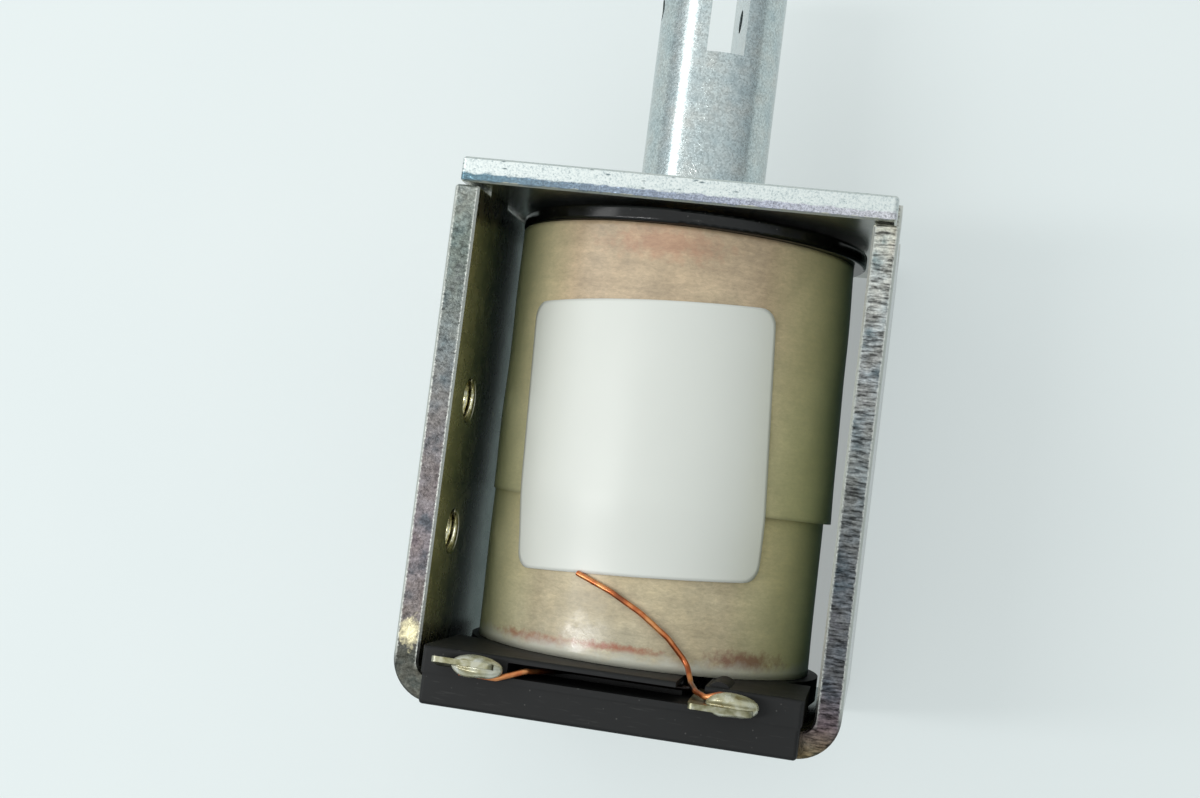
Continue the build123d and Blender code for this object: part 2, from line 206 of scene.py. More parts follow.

    # Inside the legs the passivate runs from olive at the front to teal further in, and painted shade
    # makes the teal dark further in. Outside it is clear.
    deep = add(tree, "ShaderNodeMath", {0: cloud.outputs[0], 1: tint_drift, 2: spot.outputs["Z"]},
               operation="MULTIPLY_ADD")
    inner_tint_and_shade = add(tree, "ShaderNodeMapRange", {"Value": deep.outputs[0],
                                                  "From Min": olive_z + tint_drift / 2,
                                                  "From Max": teal_z + tint_drift / 2})
    inside = add(tree, "ShaderNodeValToRGB", {0: inner_tint_and_shade.outputs[0]}, stops=(
        (0.0, "#C2BE94"), (0.4, "#AAAC87"), (1.0, "#315A54")))
    outer_leg = add(tree, "ShaderNodeMapRange", {"Value": outward.outputs[0], "From Min": outside_x - 0.25,
                                                 "From Max": outside_x + 0.25})
    outer_end = add(tree, "ShaderNodeMapRange", {"Value": spot.outputs["Y"], "From Min": outside_y + 0.3,
                                                 "From Max": outside_y - 0.3})
    outer = add(tree, "ShaderNodeMath", {0: outer_leg.outputs[0], 1: outer_end.outputs[0]},
                operation="MAXIMUM")
    outside = add(tree, "ShaderNodeValToRGB", {0: cloud.outputs[0]}, stops=(
        (0.3, "#B2B7B9"), (0.5, "#C2C4C2"), (0.7, "#BEB9BE")))
    face = add(tree, "ShaderNodeMix", {0: outer.outputs[0], 6: inside.outputs[0], 7: outside.outputs[0]},
               data_type="RGBA")
    colour = add(tree, "ShaderNodeMix", {0: edge.outputs[0], 6: face.outputs[2], 7: sheared.outputs[2]},
                 data_type="RGBA")
    edge_rough = add(tree, "ShaderNodeMapRange", {"Value": marks.outputs[0], "To Min": 0.28, "To Max": 0.5})
    face_rough = add(tree, "ShaderNodeMapRange", {"Value": cloud.outputs[0], "To Min": 0.2, "To Max": 0.34})
    roughness = add(tree, "ShaderNodeMix", {0: edge.outputs[0], 2: face_rough.outputs[0],
                                            3: edge_rough.outputs[0]}, data_type="FLOAT")
    relief = add(tree, "ShaderNodeMath", {0: marks.outputs[0], 1: grain.outputs[0]}, operation="ADD")
    height = add(tree, "ShaderNodeMath", {0: relief.outputs[0], 1: edge.outputs[0]}, operation="MULTIPLY")
    bump = add(tree, "ShaderNodeBump", {"Strength": 0.45, "Distance": 0.07 * mm, "Height": height.outputs[0]})
    shader = add(tree, "ShaderNodeBsdfPrincipled", {
        "Base Color": colour.outputs[2], "Metallic": 1.0, "Roughness": roughness.outputs[0],
        "Normal": bump.outputs[0]})
    close_material(tree, shader)
    return material


paint(plated_strip(), "frame")


# Screw threads: four number 8-32 holes tapped through the left leg. A tap leaves bright cut flanks
# in a bore that is otherwise plated. Each thread is a ridge wound inside its hole.
thread_pitch = 0.794
thread_depth = 0.34
thread_inset = 0.06
ridge_wall = 0.03
screw_holes = frame["record"]["mounts"][0]
screw_hole_radius = screw_holes["dims"]["hole_r_mm"]


def surface(name, points, round_u=False, round_v=False):
    """A mesh from a grid of points (u, v, xyz) in millimetres: neighbours become quads, and a round
    direction joins its last row to its first. Points that fall together, as at a pole, are merged."""
    rows, columns = points.shape[:2]
    u, v = np.meshgrid(np.arange(rows if round_u else rows - 1),
                       np.arange(columns if round_v else columns - 1), indexing="ij")
    nu, nv = (u + 1) % rows, (v + 1) % columns
    faces = np.stack([u * columns + v, nu * columns + v, nu * columns + nv, u * columns + nv], -1)
    faces = faces.reshape(-1, 4)
    mesh = bpy.data.meshes.new(name)
    mesh.from_pydata((points.reshape(-1, 3) * mm).tolist(), [], faces.tolist())
    shape = bmesh.new()
    shape.from_mesh(mesh)
    bmesh.ops.remove_doubles(shape, verts=shape.verts, dist=0.0005 * mm)
    bmesh.ops.recalc_face_normals(shape, faces=shape.faces)
    shape.to_mesh(mesh)
    shape.free()
    mesh.shade_smooth()
    piece = bpy.data.objects.new(name, mesh)
    bpy.context.scene.collection.objects.link(piece)
    return piece


def thread_ridge(name, centre):
    """A V ridge wound in a hole along X. For a profile of (share of the pitch, share of the depth):
    radius = hole - depth * share, and x = one pitch for each turn + pitch * share, kept in the strip."""
    turns = strip_thickness / thread_pitch
    turn = np.linspace(0, 2 * np.pi * turns, 150)[:, None]
    profile = np.array([[-0.5, 0.0], [-0.06, 1.0], [0.06, 1.0], [0.5, 0.0]])
    half = strip_thickness / 2
    run = (turn / (2 * np.pi)) * thread_pitch - half + profile[None, :, 0] * thread_pitch
    run = np.clip(run, -half + thread_inset, half - thread_inset)
    reach = screw_hole_radius - 0.01 - thread_depth * profile[None, :, 1] + 0 * turn
    points = np.stack([centre[0] + run, centre[1] + reach * np.cos(turn),
                       centre[2] + reach * np.sin(turn)], -1)
    ridge = surface(name, points)
    solid = ridge.modifiers.new("thickness", "SOLIDIFY")
    solid.thickness = ridge_wall * mm
    solid.offset = 1
    return ridge


def cut_thread():
    """Bright cut steel with oil-yellow flanks."""
    material, tree, at = new_material("cut steel thread")
    flutter = add(tree, "ShaderNodeTexNoise", {"Vector": at, "Scale": 2.5, "Detail": 3.0})
    colour = add(tree, "ShaderNodeValToRGB", {0: flutter.outputs[0]}, stops=(
        (0.35, "#A9A274"), (0.5, "#D8D3AE"), (0.65, "#F1EEDC")))
    shader = add(tree, "ShaderNodeBsdfPrincipled",
                 {"Base Color": colour.outputs[0], "Metallic": 1.0, "Roughness": 0.24})
    close_material(tree, shader)
    return material


bright_steel = cut_thread()
pattern_centre = [value / mm for value in screw_holes["pos_m"]]
for along, level in ((-1, "low"), (1, "high")):
    for across, depth in ((-1, "back"), (1, "front")):
        hole = (pattern_centre[0] + strip_thickness / 2,
                pattern_centre[1] + along * screw_holes["dims"]["spacing_x_mm"] / 2,
                pattern_centre[2] + across * screw_holes["dims"]["spacing_y_mm"] / 2)
        ridge = thread_ridge(f"thread_{level}_{depth}", hole)
        ridge.data.materials.append(bright_steel)
        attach(ridge, "body")


# End plate: blanked from the same strip, notched over the frame's tenons and staked. Blanking leaves
# a burnished band, blue to violet under the passivate, along the lower part of each edge. Above it
# the metal tore, and the plating there is white and granular with a few drawn-out pits.
plate_low, plate_high = [corner.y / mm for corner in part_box("end_plate")]
plate_half = 20.3


def blanked_plate():
    """Zinc plated plate with a burnished and a torn band round its edges."""
    material, tree, at = new_material("zinc plated blanked steel plate")
    spot = add(tree, "ShaderNodeSeparateXYZ", {0: at})
    facing = add(tree, "ShaderNodeTexCoord")
    normal = add(tree, "ShaderNodeSeparateXYZ", {0: facing.outputs["Normal"]})
    flat = add(tree, "ShaderNodeMath", {0: normal.outputs["Y"]}, operation="ABSOLUTE")
    edge = add(tree, "ShaderNodeMapRange", {"Value": flat.outputs[0], "From Min": 0.9, "From Max": 0.6})
    grain = add(tree, "ShaderNodeTexNoise", {"Vector": at, "Scale": 5.5, "Detail": 3.0, "Roughness": 0.7})
    drawn = add(tree, "ShaderNodeVectorMath", {0: at, 1: (0.9, 3.0, 0.9)}, operation="MULTIPLY")
    ragged = add(tree, "ShaderNodeTexNoise", {"Vector": drawn.outputs[0], "Scale": 1.0, "Detail": 4.0,
                                              "Roughness": 0.65})
    level = add(tree, "ShaderNodeMapRange", {"Value": spot.outputs["Y"], "From Min": plate_low,
                                             "From Max": plate_high})
    wavy = add(tree, "ShaderNodeMath", {0: ragged.outputs[0], 1: -0.35, 2: level.outputs[0]},
               operation="MULTIPLY_ADD")
    torn = add(tree, "ShaderNodeMapRange", {"Value": wavy.outputs[0], "From Min": 0.13, "From Max": 0.21})
    lip = add(tree, "ShaderNodeMapRange", {"Value": wavy.outputs[0], "From Min": -0.09, "From Max": -0.13})
    along = add(tree, "ShaderNodeMapRange", {"Value": spot.outputs["X"], "From Min": -plate_half,
                                             "From Max": plate_half})
    burnished = add(tree, "ShaderNodeValToRGB", {0: along.outputs[0]}, stops=(
        (0.0, "#66838F"), (0.2, "#788A98"), (0.45, "#929BAB"), (0.7, "#ADAFBC"), (1.0, "#C6C5CA")))
    band_tone = add(tree, "ShaderNodeMapRange", {"Value": grain.outputs[0], **noise_span, "To Min": 0.55,
                                                 "To Max": 1.5})
    band = add(tree, "ShaderNodeMix", {0: 1.0, 6: burnished.outputs[0], 7: band_tone.outputs[0]},
               data_type="RGBA", blend_type="MULTIPLY")
    white = add(tree, "ShaderNodeValToRGB", {0: grain.outputs[0]}, stops=(
        (0.3, "#9AA5A7"), (0.42, "#C9D1D0"), (0.6, "#E0E4E1"), (0.75, "#BFC9C9")))
    pits = add(tree, "ShaderNodeTexVoronoi", {"Vector": drawn.outputs[0], "Scale": 0.55, "Randomness": 1.0})
    pitted = add(tree, "ShaderNodeMapRange", {"Value": pits.outputs["Distance"], "From Min": 0.06,
                                              "From Max": 0.16})
    upper = add(tree, "ShaderNodeMix", {0: pitted.outputs[0], 6: linear("#6E7C80"), 7: white.outputs[0]},
                data_type="RGBA")
    banded = add(tree, "ShaderNodeMix", {0: torn.outputs[0], 6: band.outputs[2], 7: upper.outputs[2]},
                 data_type="RGBA")
    lipped = add(tree, "ShaderNodeMix", {0: lip.outputs[0], 6: banded.outputs[2], 7: linear("#C2C1B2")},
                 data_type="RGBA")
    cloud = add(tree, "ShaderNodeTexNoise", {"Vector": at, "Scale": 0.3, "Detail": 4.0})
    face = add(tree, "ShaderNodeValToRGB", {0: cloud.outputs[0]}, stops=(
        (0.3, "#AEB3AF"), (0.5, "#BCC0BA"), (0.7, "#C4C2BA")))
    colour = add(tree, "ShaderNodeMix", {0: edge.outputs[0], 6: face.outputs[0], 7: lipped.outputs[2]},
                 data_type="RGBA")
    edge_rough = add(tree, "ShaderNodeMapRange", {"Value": torn.outputs[0], "To Min": 0.24, "To Max": 0.5})
    roughness = add(tree, "ShaderNodeMix", {0: edge.outputs[0], 2: 0.24, 3: edge_rough.outputs[0]},
                    data_type="FLOAT")
    tear = add(tree, "ShaderNodeMath", {0: grain.outputs[0], 1: pitted.outputs[0]}, operation="ADD")
    height = add(tree, "ShaderNodeMath", {0: tear.outputs[0], 1: edge.outputs[0]}, operation="MULTIPLY")
    bump = add(tree, "ShaderNodeBump", {"Strength": 0.4, "Distance": 0.05 * mm, "Height": height.outputs[0]})
    shader = add(tree, "ShaderNodeBsdfPrincipled", {
        "Base Color": colour.outputs[2], "Metallic": 1.0, "Roughness": roughness.outputs[0],
        "Normal": bump.outputs[0]})
    close_material(tree, shader)
    return material


paint(blanked_plate(), "end_plate")


# Core, guide tube and disc: a turned and plated steel core swaged into the frame, and a drawn brass
# sleeve and disc, nearly all hidden inside the coil. Fine turning rings show on the core's end.
coil_axis_z = screw_holes["pos_m"][2] / mm
turning_feed = 0.18


def turned_metal(name, hex_colour, roughness):
    """Turned or drawn metal with fine rings round the coil's axis: their height is the sine of
    360 degrees * radius / feed."""
    material, tree, at = new_material(name)
    centred = add(tree, "ShaderNodeVectorMath", {0: at, 1: (0, 0, coil_axis_z)}, operation="SUBTRACT")
    on_end = add(tree, "ShaderNodeVectorMath", {0: centred.outputs[0], 1: (1, 0, 1)}, operation="MULTIPLY")
    radius = add(tree, "ShaderNodeVectorMath", {0: on_end.outputs[0]}, operation="LENGTH")
    feed = add(tree, "ShaderNodeMath", {0: radius.outputs["Value"], 1: 2 * math.pi / turning_feed},
               operation="MULTIPLY")
    rings = add(tree, "ShaderNodeMath", {0: feed.outputs[0]}, operation="SINE")
    cloud = add(tree, "ShaderNodeTexNoise", {"Vector": at, "Scale": 1.2, "Detail": 4.0})
    tone = add(tree, "ShaderNodeMapRange", {"Value": cloud.outputs[0], "To Min": 0.8, "To Max": 1.15})
    colour = add(tree, "ShaderNodeMix", {0: 1.0, 6: linear(hex_colour), 7: tone.outputs[0]}, data_type="RGBA",
                 blend_type="MULTIPLY")
    rough = add(tree, "ShaderNodeMapRange",
                {"Value": cloud.outputs[0], "To Min": roughness - 0.08, "To Max": roughness + 0.08})
    bump = add(tree, "ShaderNodeBump", {"Strength": 0.3, "Distance": 0.006 * mm, "Height": rings.outputs[0]})
    shader = add(tree, "ShaderNodeBsdfPrincipled", {
        "Base Color": colour.outputs[2], "Metallic": 1.0, "Roughness": rough.outputs[0],
        "Normal": bump.outputs[0]})
    close_material(tree, shader)
    return material


paint(turned_metal("zinc plated turned steel core", "#B9BCBD", 0.32), "pole_piece")
paint(turned_metal("drawn brass", "#CDAE68", 0.28), "guide_tube", "shim_disc")


# Bobbin: moulded black nylon, semi-gloss, with a terminal block over the front edge of the frame.
# Handling has left fine scuffs and specks of dust on its faces, and the flange stays glossy.
dust_speck_spacing = 0.9
block_end, flange_start = -30.0, -28.0
block_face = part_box("bobbin")[1].z / mm


def moulded_nylon():
    """Black glass-filled nylon with scuffs and dust."""
    material, tree, at = new_material("black moulded nylon")
    spot = add(tree, "ShaderNodeSeparateXYZ", {0: at})
    cloud = add(tree, "ShaderNodeTexNoise", {"Vector": at, "Scale": 0.5, "Detail": 6.0, "Roughness": 0.7})
    base = add(tree, "ShaderNodeValToRGB", {0: cloud.outputs[0]}, stops=(
        (0.35, "#050505"), (0.75, "#0E0E0E")))
    specks = add(tree, "ShaderNodeTexVoronoi", {"Vector": at, "Scale": 1 / dust_speck_spacing})
    speck = add(tree, "ShaderNodeMapRange", {"Value": specks.outputs["Distance"], "From Min": 0.1,
                                             "From Max": 0.05, "To Max": 0.2})
    drawn = add(tree, "ShaderNodeVectorMath", {0: at, 1: (0.5, 5.0, 5.0)}, operation="MULTIPLY")
    scuffs = add(tree, "ShaderNodeTexNoise", {"Vector": drawn.outputs[0], "Scale": 1.0, "Detail": 3.0})
    scuffed = add(tree, "ShaderNodeMapRange", {"Value": scuffs.outputs[0], "From Min": 0.62, "From Max": 0.75,
                                               "To Max": 0.05})
    marked = add(tree, "ShaderNodeMath", {0: speck.outputs[0], 1: scuffed.outputs[0]}, operation="MAXIMUM")
    colour = add(tree, "ShaderNodeMix", {0: marked.outputs[0], 6: base.outputs[0], 7: linear("#8A8884")},
                 data_type="RGBA")
    on_flange = add(tree, "ShaderNodeMapRange", {"Value": spot.outputs["Y"], "From Min": block_end,
                                                 "From Max": flange_start})
    fine = add(tree, "ShaderNodeTexNoise", {"Vector": at, "Scale": 7.0, "Detail": 3.0})
    block_rough = add(tree, "ShaderNodeMapRange", {"Value": cloud.outputs[0], "To Min": 0.5, "To Max": 0.7})
    rough = add(tree, "ShaderNodeMix", {0: on_flange.outputs[0], 2: block_rough.outputs[0], 3: 0.16},
                data_type="FLOAT")
    bump = add(tree, "ShaderNodeBump", {"Strength": 0.2, "Distance": 0.015 * mm, "Height": fine.outputs[0]})
    shader = add(tree, "ShaderNodeBsdfPrincipled", {
        "Base Color": colour.outputs[2], "Roughness": rough.outputs[0], "IOR": 1.42,
        "Normal": bump.outputs[0]})
    close_material(tree, shader)
    return material


paint(moulded_nylon(), "bobbin")


# Winding and leads: enamelled copper wire. The enamel is a clear varnish that turns bright copper
# orange, paler and browner by turns. The winding is hidden under its tapes, so it is a plain ring.
# Inside the block's channel the inner lead lies in deep shade, and it is coloured dark there.
channel_left, channel_roof, channel_front = -6.5, -32.5, block_face - 0.5


def enamelled_copper():
    """Copper under a coat of varnish."""
    material, tree, at = new_material("enamelled copper wire")
    patches = add(tree, "ShaderNodeTexNoise", {"Vector": at, "Scale": 0.6, "Detail": 4.0})
    colour = add(tree, "ShaderNodeValToRGB", {0: patches.outputs[0]}, stops=(
        (0.35, "#8E4A26"), (0.5, "#C46A36"), (0.65, "#E39A5E")))
    spot = add(tree, "ShaderNodeSeparateXYZ", {0: at})
    inward = add(tree, "ShaderNodeMapRange", {"Value": spot.outputs["X"], "From Min": channel_left - 1,
                                              "From Max": channel_left + 1})
    below = add(tree, "ShaderNodeMapRange", {"Value": spot.outputs["Y"], "From Min": channel_roof + 0.3,
                                             "From Max": channel_roof - 0.3})
    sunk = add(tree, "ShaderNodeMapRange", {"Value": spot.outputs["Z"], "From Min": channel_front + 0.3,
                                            "From Max": channel_front - 0.3})
    enclosed = add(tree, "ShaderNodeMath", {0: inward.outputs[0], 1: below.outputs[0]}, operation="MULTIPLY")
    in_channel = add(tree, "ShaderNodeMath", {0: enclosed.outputs[0], 1: sunk.outputs[0]},
                     operation="MULTIPLY")
    toned = add(tree, "ShaderNodeMix", {0: in_channel.outputs[0], 6: colour.outputs[0], 7: linear("#1A0F0A")},
                data_type="RGBA")
    fine = add(tree, "ShaderNodeTexNoise", {"Vector": at, "Scale": 5.0, "Detail": 2.0})
    bump = add(tree, "ShaderNodeBump", {"Strength": 0.15, "Distance": 0.02 * mm, "Height": fine.outputs[0]})
    shader = add(tree, "ShaderNodeBsdfPrincipled", {
        "Base Color": toned.outputs[2], "Metallic": 0.85, "Roughness": 0.32, "Coat Weight": 0.5,
        "Coat Roughness": 0.15, "Normal": bump.outputs[0]})
    close_material(tree, shader)
    return material


copper_wire = enamelled_copper()
paint(copper_wire, "start_lead", "finish_lead")


def wrap(name, bottom, top, radii, leans, wall, wobble):
    """A closed ring round the coil. For share s of its height and angle a: x = lean + radius * sin a and
    z = axis + radius * cos a. Radius and lean run from foot to top, two slow waves of a few hundredths
    of a millimetre run round the radius, and a slow wobble lifts and lowers the lower rim."""
    turn = np.linspace(0, 2 * np.pi, 240, endpoint=False)[:, None]
    rise = np.linspace(0, 1, 60)
    loop = np.concatenate([rise, rise[::-1]])[None, :]
    skin = np.concatenate([np.zeros_like(rise), np.full_like(rise, wall)])[None, :]
    radius = radii[0] + (radii[1] - radii[0]) * loop - skin
    radius = radius + 0.03 * np.sin(5 * turn + 9 * loop) + 0.025 * np.sin(11 * turn - 14 * loop + 1.3)
    lean = leans[0] + (leans[1] - leans[0]) * loop
    rim = wobble * (np.sin(turn - 0.4) + 0.35 * np.sin(3 * turn)) * (1 - loop)
    height = bottom + (top - bottom) * loop + rim
    points = np.stack([lean + radius * np.sin(turn), height + 0 * turn,
                       coil_axis_z + radius * np.cos(turn)], -1)
    return surface(name, points, round_u=True, round_v=True)


low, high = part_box("winding")
winding = wrap("winding_turns", low.y / mm, high.y / mm, radii=(16.25, 16.1), leans=(-0.15, -0.6),
               wall=6.0, wobble=0.0)
winding.data.materials.append(copper_wire)
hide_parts("winding")
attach(winding, "body")


# Film strip: a short strip of amber polyester, cut by hand and laid between the winding and its own
# inner lead. It is clear, with a faint haze.
def amber_film():
    """Clear amber film with a faint haze."""
    material, tree, at = new_material("amber polyester film")
    haze = add(tree, "ShaderNodeTexNoise", {"Vector": at, "Scale": 1.5, "Detail": 2.0})
    colour = add(tree, "ShaderNodeMix", {0: haze.outputs[0], 6: linear("#B98A45"), 7: linear("#D0A560")},
                 data_type="RGBA")
    shader = add(tree, "ShaderNodeBsdfPrincipled", {"Base Color": colour.outputs[2], "Roughness": 0.25,
                                                    "IOR": 1.6})
    close_material(tree, shader)
    return material


paint(amber_film(), "start_lead_insulation")


# Tapes: two wraps of thin fibre tape, brushed with clear varnish so that the copper shows through in
# patches. The outer wrap stops short of the lower flange, and both lean a little to the left. A thick
# drop of varnish has dried at the foot of the inner wrap.
tape_fibre = 0.35
tape_foot, tape_top, cloud_drift = -34.0, 10.0, 22.0
# Painted light on the tapes' sides: it begins and is full at these distances from the coil's middle.
painted_side_light_start, painted_side_light_end = 9.0, 17.0
# Where the pale band at the foot of each wrap begins and is full: partly frayed fibres, partly painted light.
pale_foot_start, pale_foot_end = -29.1, -30.1
drop_place, drop_reach = (-4.6, -29.8, 37.6), (7.0, 3.0, 8.0)
copper_patches = (
    ((-0.5, 7.0, 36.0), (8.0, 2.4, 8.0), 0.9, 0.35, "#B0644A"),
    ((-9.5, -31.0, 34.5), (8.0, 0.9, 8.0), 1.3, 0.75, "#9C5A40"),
    ((-0.8, -30.6, 37.0), (6.5, 0.6, 8.0), 1.6, 0.85, "#A0522F"),
    ((11.5, -30.8, 32.0), (6.0, 1.5, 8.0), 1.1, 0.75, "#804A3E"))


def varnished_tape(name, stops, gloss):
    """Varnished fibre tape: short pale fibres drawn coarser than real so that they show, clouds, bands
    round the coil, colours that change from its foot to its top, painted light that makes its sides paler,
    and a pale foot that is partly frayed fibres and partly painted light."""
    material, tree, at = new_material(name)
    spot = add(tree, "ShaderNodeSeparateXYZ", {0: at})
    slow = add(tree, "ShaderNodeTexNoise", {"Vector": at, "Scale": 0.13, "Detail": 4.0, "Roughness": 0.6})
    drift = add(tree, "ShaderNodeMath", {0: slow.outputs[0], 1: cloud_drift, 2: spot.outputs["Y"]},
                operation="MULTIPLY_ADD")
    level = add(tree, "ShaderNodeMapRange", {"Value": drift.outputs[0],
                                             "From Min": tape_foot + cloud_drift / 2,
                                             "From Max": tape_top + cloud_drift / 2})
    base = add(tree, "ShaderNodeValToRGB", {0: level.outputs[0]}, stops=stops)
    cloud = add(tree, "ShaderNodeTexNoise", {"Vector": at, "Scale": 0.4, "Detail": 5.0, "Roughness": 0.65})
    cloud_tone = add(tree, "ShaderNodeMapRange", {"Value": cloud.outputs[0], **noise_span, "To Min": 0.82,
                                                  "To Max": 1.14})
    laid = add(tree, "ShaderNodeVectorMath", {0: at, 1: (0.55, 1.3, 0.55)}, operation="MULTIPLY")
    fibres = add(tree, "ShaderNodeTexNoise", {"Vector": laid.outputs[0], "Scale": 1 / tape_fibre,
                                              "Detail": 6.0, "Roughness": 0.75, "Distortion": 0.5})
    wound = add(tree, "ShaderNodeVectorMath", {0: at, 1: (0.12, 1.1, 0.12)}, operation="MULTIPLY")
    bands = add(tree, "ShaderNodeTexNoise", {"Vector": wound.outputs[0], "Scale": 1.0, "Detail": 4.0,
                                             "Roughness": 0.6})
    band_tone = add(tree, "ShaderNodeMapRange", {"Value": bands.outputs[0], **noise_span, "To Min": 0.9,
                                                 "To Max": 1.09})
    fibre_tone = add(tree, "ShaderNodeMapRange", {"Value": fibres.outputs[0], **noise_span, "To Min": 0.78,
                                                  "To Max": 1.2})
    mottled = add(tree, "ShaderNodeMath", {0: cloud_tone.outputs[0], 1: fibre_tone.outputs[0]},
                  operation="MULTIPLY")
    tone = add(tree, "ShaderNodeMath", {0: mottled.outputs[0], 1: band_tone.outputs[0]}, operation="MULTIPLY")
    woven = add(tree, "ShaderNodeMix", {0: 1.0, 6: base.outputs[0], 7: tone.outputs[0]}, data_type="RGBA",
                blend_type="MULTIPLY")
    # Painted light: towards each side the wrap is painted paler, standing in for light on its sides.
    outward = add(tree, "ShaderNodeMath", {0: spot.outputs["X"]}, operation="ABSOLUTE")
    painted_side_light_mask = add(tree, "ShaderNodeMapRange", {"Value": outward.outputs[0], "From Min": painted_side_light_start,
                                                   "From Max": painted_side_light_end, "To Max": 0.85})
    painted_side_light_colour = add(tree, "ShaderNodeMix", {0: painted_side_light_mask.outputs[0], 6: woven.outputs[2], 7: linear("#D8D9A8")},
                data_type="RGBA")
    coppered = painted_side_light_colour.outputs[2]
    for centre, reach, ragged, strength, hex_colour in copper_patches:
        mask = patch(tree, at, centre, reach, ragged)
        amount = add(tree, "ShaderNodeMath", {0: mask, 1: strength}, operation="MULTIPLY")
        coppered = add(tree, "ShaderNodeMix", {0: amount.outputs[0], 6: coppered, 7: linear(hex_colour)},
                       data_type="RGBA").outputs[2]
    # A pale band along the foot of each wrap: partly frayed fibres, partly painted light along its edge.
    foot = add(tree, "ShaderNodeMath", {0: cloud.outputs[0], 1: 3.0, 2: spot.outputs["Y"]},
               operation="MULTIPLY_ADD")
    frayed_and_lit_foot = add(tree, "ShaderNodeMapRange", {"Value": foot.outputs[0], "From Min": pale_foot_start,
                                              "From Max": pale_foot_end, "To Max": 0.75})
    colour = add(tree, "ShaderNodeMix", {0: frayed_and_lit_foot.outputs[0], 6: coppered, 7: linear("#CFCFC2")},
                 data_type="RGBA")
    rough = add(tree, "ShaderNodeMapRange", {"Value": cloud.outputs[0], **noise_span,
                                             "To Min": 0.55 - 0.35 * gloss, "To Max": 0.62 - 0.2 * gloss})

    # Over the drop of varnish the fibres are levelled and the surface is smooth.
    drop = patch(tree, at, drop_place, drop_reach, 0.5)
    levelled = add(tree, "ShaderNodeMapRange", {"Value": drop, "To Min": 0.3, "To Max": 0.03})
    bump = add(tree, "ShaderNodeBump", {"Strength": levelled.outputs[0], "Distance": 0.03 * mm,
                                        "Height": fibres.outputs[0]})
    wet = add(tree, "ShaderNodeMix", {0: drop, 2: rough.outputs[0], 3: 0.13}, data_type="FLOAT")
    coat_bump = add(tree, "ShaderNodeBump", {"Strength": 0.5, "Distance": 0.05 * mm,
                                             "Height": cloud.outputs[0]})
    shader = add(tree, "ShaderNodeBsdfPrincipled", {
        "Base Color": colour.outputs[2], "Roughness": wet.outputs[0], "IOR": 1.55, "Coat Weight": gloss,
        "Coat Roughness": 0.2, "Normal": bump.outputs[0], "Coat Normal": coat_bump.outputs[0]})
    close_material(tree, shader)
    return material


low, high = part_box("inner_tape")
inner_tape = wrap("inner_tape_wrap", low.y / mm, high.y / mm, radii=(16.75, 16.72), leans=(-0.2, -0.65),
                  wall=0.15, wobble=0.0)
inner_tape.data.materials.append(varnished_tape("varnished fibre tape, inner wrap", (
    (0.0, "#B9AE92"), (0.3, "#BEAC88"), (0.6, "#B4A67F"), (1.0, "#A8A27A")), gloss=0.22))
low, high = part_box("outer_tape")
outer_tape = wrap("outer_tape_wrap", low.y / mm, high.y / mm, radii=(17.2, 16.98), leans=(-0.12, -0.55),
                  wall=0.12, wobble=0.35)
outer_tape.data.materials.append(varnished_tape("varnished fibre tape, outer wrap", (
    (0.0, "#A9A682"), (0.35, "#ADA381"), (0.6, "#B6A686"), (0.8, "#BBA587"), (1.0, "#B39C7E")), gloss=0.25))
for piece, node in ((inner_tape, "inner_tape"), (outer_tape, "outer_tape")):
    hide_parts(node)
    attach(piece, "body")


# Label: a die-cut square of white vinyl with rounded corners, stuck a little crooked on the coil.
# It carries no print. Below the outer wrap's rim it slopes down to the inner wrap, which is a step
# lower, and it follows the outer wrap's taper and lean above.
label_side = 25.6
label_corner = 1.6
label_tilt = math.radians(3.4)
label_centre_y = frame_low.y + 26.58
label_centre_arc = -0.55
label_wall = 0.1
slope_foot, slope_height = -24.2, 8.0
outer_rim, outer_height = -17.3, 26.0
inner_radius, outer_radius = 16.84, 17.2
step_out, taper_in = 0.45, 0.22


def label_sheet():
    """Rings of one rounded square, each a share of the full size, from the middle out, over the edge and
    back in underneath. The flat sheet is turned by the tilt, then its x becomes an angle round the coil:
    x = lean + radius * sin angle and z = axis + radius * cos angle. The radius has a smooth step at the
    slope, 3 s squared - 2 s cubed for share s of its height, and a taper above it."""
    turn = np.linspace(0, 2 * np.pi, 256, endpoint=False)
    half = label_side / 2 - label_corner
    direction = np.stack([np.cos(turn), np.sin(turn)], -1)
    square = direction / np.abs(direction).max(1)[:, None] * (half + label_corner)
    inner = np.clip(square, -half, half)
    outward = square - inner
    length = np.linalg.norm(outward, axis=1)[:, None]
    rim = inner + outward / np.maximum(length, 1e-9) * label_corner
    share = np.concatenate([np.linspace(0, 1, 40), np.linspace(1, 0, 40)])
    lift = np.concatenate([np.full(40, label_wall), np.zeros(40)])
    flat = share[:, None, None] * rim[None]
    x = flat[..., 0] * math.cos(label_tilt) - flat[..., 1] * math.sin(label_tilt) + label_centre_arc
    y = flat[..., 0] * math.sin(label_tilt) + flat[..., 1] * math.cos(label_tilt) + label_centre_y
    step = np.clip((y - slope_foot) / slope_height, 0, 1)
    rise = np.clip((y - outer_rim) / outer_height, 0, 1)
    radius = inner_radius + step_out * step * step * (3 - 2 * step) - taper_in * rise + lift[:, None]
    angle = x / outer_radius
    lean = -0.2 - 0.35 * rise
    return np.stack([lean + radius * np.sin(angle), y, coil_axis_z + radius * np.cos(angle)], -1)


